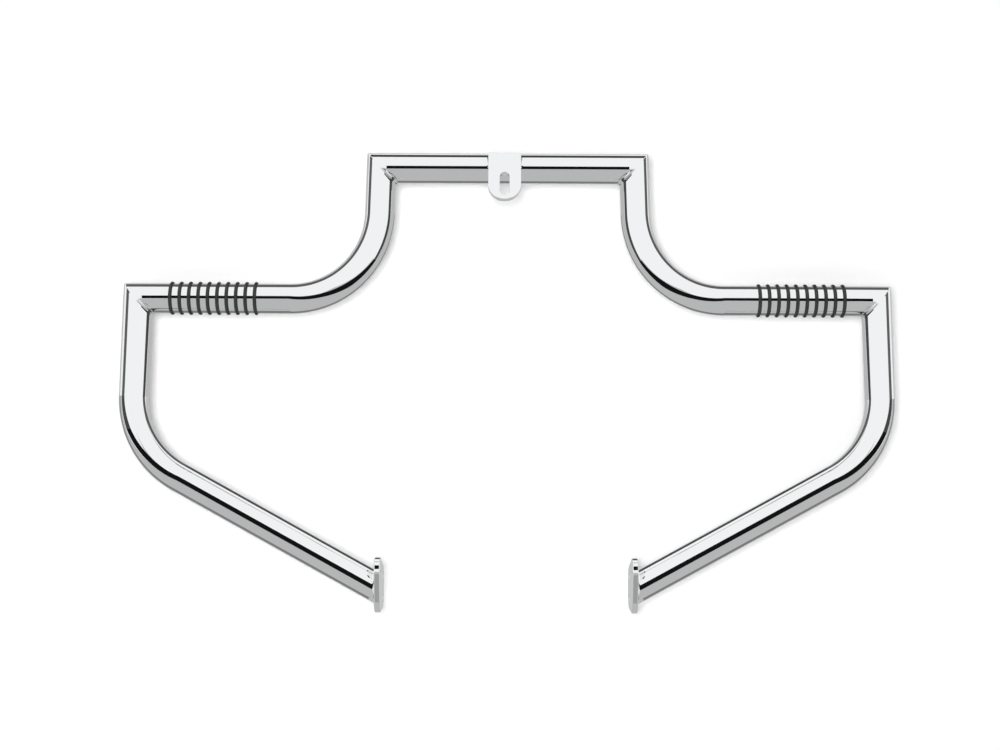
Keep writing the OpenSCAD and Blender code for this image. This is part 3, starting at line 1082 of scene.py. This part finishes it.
class CRASHBAR_OT_studio(bpy.types.Operator):
    """Make the background paper, floor, painted reflection strips and cards, lamps and camera"""

    bl_idname = "crash_bar.studio"
    bl_label = "Make Studio"

    def execute(self, context):
        studio = context.scene.crash_bar_studio
        self.paper(studio)
        self.cards(context)
        self.lamps(studio)
        self.world(context, studio)
        self.camera(context, studio)
        context.scene.view_settings.view_transform = "Standard"
        return {"FINISHED"}

    def paper(self, studio):
        """Matt paper close behind the bar, which is clear from behind, and a pale floor"""
        wide = studio.paper_half
        top = studio.paper_top
        y = studio.paper_back
        floor = -studio.floor_drop
        deep = studio.floor_half
        self.sheet("background_paper", [(-wide, y, floor), (wide, y, floor),
                                        (wide, y, top), (-wide, y, top)], True)
        self.sheet("floor", [(-deep, -deep, floor), (deep, -deep, floor),
                             (deep, deep, floor), (-deep, deep, floor)], False)

    def sheet(self, name, corners, one_sided):
        """Sheet of matt white paper, which may be clear from behind"""
        mesh = bpy.data.meshes.new(name)
        mesh.from_pydata([Vector(c) for c in corners], [], [(0, 1, 2, 3)])
        made = bpy.data.objects.new(name, mesh)
        bpy.context.scene.collection.objects.link(made)
        made.visible_glossy = False
        material, tree, output = new_material("matt_" + name)
        colour = bpy.context.scene.crash_bar_finish.paper
        shader = add_node(tree, "ShaderNodeBsdfDiffuse", {"Color": colour})
        surface = shader.outputs["BSDF"]
        if one_sided:
            back = add_node(tree, "ShaderNodeNewGeometry").outputs["Backfacing"]
            clear = add_node(tree, "ShaderNodeBsdfTransparent")
            surface = add_node(tree, "ShaderNodeMixShader", {
                0: back, 1: surface, 2: clear.outputs["BSDF"]}).outputs["Shader"]
        tree.links.new(surface, output.inputs["Surface"])
        mesh.materials.append(material)

    def cards(self, context):
        """The painted reflection strips along both halves, and two large glowing cards that paint
        a grey floor and a shaded backdrop into the chrome's sides
        """
        for side in SIDES:
            painted_strips = Flags(context, side)
            painted_strips.on_cross_tube()
            painted_strips.on_riser()
            painted_strips.on_shoulder()
            painted_strips.on_foot()
            painted_strips.on_leg()
            painted_strips.on_knee()
            painted_strips.on_lower_run()
            painted_strips.at_mitres()
            painted_strips.on_lug(context.scene.crash_bar_plates)
        # The painted floor reflection widens towards the camera as the mirrored rays do
        painted_floor_front = Vector((2.6, -8, -0.72))
        painted_floor_rear = Vector((0.6, 0.9, -0.72))
        card("painted_floor_reflection", painted_floor_front, painted_floor_rear, PALE)
        # Painted reflection of the background paper, greyed as painted shade
        painted_back_foot = Vector((3, 1.6, -2))
        painted_back_top = Vector((3, 1.6, 1.5))
        card("painted_shaded_back_reflection", painted_back_foot, painted_back_top, BACK_GREY)

    def lamps(self, studio):
        """A soft key lamp beside the camera, and a wide lamp over the bar"""
        beside_camera = Vector((-0.11, -2.0, -0.13))
        bar_middle = Vector((0, 0, -0.22))
        over_bar = Vector((0, -0.5, 1.7))
        below_bar = Vector((0, 0, -0.6))
        self.lamp("key_lamp", beside_camera, bar_middle, studio.key_size, studio.key)
        self.lamp("overhead_lamp", over_bar, below_bar, studio.overhead_size, studio.overhead)

    def lamp(self, name, place, target, size, power):
        """Round soft lamp that neither the chrome nor the camera shows"""
        data = bpy.data.lights.new(name, "AREA")
        data.shape = "DISK"
        data.size = size
        data.energy = power
        made = bpy.data.objects.new(name, data)
        bpy.context.scene.collection.objects.link(made)
        made.location = place
        made.visible_glossy = False
        made.visible_camera = False
        face_to(made, target)

    def world(self, context, studio):
        """Even light from all round, and a white room where the camera and mirrors look"""
        world = bpy.data.worlds.new("studio")
        world.use_nodes = True
        tree = world.node_tree
        tree.nodes.clear()
        path = add_node(tree, "ShaderNodeLightPath").outputs
        in_sight = add_node(tree, "ShaderNodeMath", {
            0: path["Is Camera Ray"], 1: path["Is Glossy Ray"]}, operation="MAXIMUM")
        seen = add_node(tree, "ShaderNodeMath", {
            0: in_sight.outputs[0], 1: path["Is Transmission Ray"]}, operation="MAXIMUM")
        # The paper isn't lit by the white room that the chrome beside it mirrors
        direct = add_node(tree, "ShaderNodeMath", {
            0: 1.0, 1: path["Diffuse Depth"]}, operation="SUBTRACT", use_clamp=True)
        shows = add_node(tree, "ShaderNodeMath", {
            0: seen.outputs[0], 1: direct.outputs[0]}, operation="MULTIPLY")
        light = add_node(tree, "ShaderNodeBackground", {
            "Color": (1, 1, 1, 1), "Strength": studio.fill})
        white = add_node(tree, "ShaderNodeBackground", {"Color": (1, 1, 1, 1), "Strength": 1})
        both = add_node(tree, "ShaderNodeMixShader", {
            0: shows.outputs[0], 1: light.outputs["Background"],
            2: white.outputs["Background"]})
        add_node(tree, "ShaderNodeOutputWorld", {"Surface": both.outputs["Shader"]})
        context.scene.world = world

    def camera(self, context, studio):
        """Camera before the bar, level apart from the picture's slight lean"""
        data = bpy.data.cameras.new("camera")
        data.lens = studio.lens
        data.sensor_width = 36
        made = bpy.data.objects.new("camera", data)
        context.scene.collection.objects.link(made)
        made.location = (studio.eye_side, -studio.distance, studio.eye_height)
        level = Matrix.Rotation(math.pi / 2, 4, "X")
        made.rotation_euler = (level @ Matrix.Rotation(studio.roll, 4, "Z")).to_euler()
        context.scene.camera = made


class CRASHBAR_PT_panel(bpy.types.Panel):
    """Lists the crash bar's operators and sizes"""

    bl_idname = "CRASHBAR_PT_panel"
    bl_label = "Crash Bar"
    bl_space_type = "VIEW_3D"
    bl_region_type = "UI"
    bl_category = "Crash Bar"

    def draw(self, context):
        layout = self.layout
        for operator in OPERATORS:
            layout.operator(operator.bl_idname)
        for holder in PROPERTY_HOLDERS:
            box = layout.box()
            group = getattr(context.scene, holder)
            for key in group.__annotations__:
                box.prop(group, key)


OPERATORS = (CRASHBAR_OT_tubes, CRASHBAR_OT_welds, CRASHBAR_OT_tab, CRASHBAR_OT_lugs,
             CRASHBAR_OT_rings, CRASHBAR_OT_studio)
PROPERTY_HOLDERS = {
    "crash_bar_tubes": TubeSizes,
    "crash_bar_rings": RingSizes,
    "crash_bar_plates": PlateSizes,
    "crash_bar_finish": Finishes,
    "crash_bar_studio": StudioSizes,
}


def register():
    """Registers the classes and hangs the sizes on the scene"""
    for made in (*PROPERTY_HOLDERS.values(), *OPERATORS, CRASHBAR_PT_panel):
        bpy.utils.register_class(made)
    for holder, group in PROPERTY_HOLDERS.items():
        setattr(bpy.types.Scene, holder, bpy.props.PointerProperty(type=group))


def unregister():
    """Takes the sizes off the scene and unregisters the classes"""
    for holder in PROPERTY_HOLDERS:
        delattr(bpy.types.Scene, holder)
    for made in (CRASHBAR_PT_panel, *OPERATORS[::-1], *list(PROPERTY_HOLDERS.values())[::-1]):
        bpy.utils.unregister_class(made)


def main():
    """Makes the whole bar and its studio"""
    register()
    bpy.ops.crash_bar.tubes()
    bpy.ops.crash_bar.welds()
    bpy.ops.crash_bar.tab()
    bpy.ops.crash_bar.lugs()
    bpy.ops.crash_bar.rings()
    bpy.ops.crash_bar.studio()


if __name__ == "__main__":
    main()
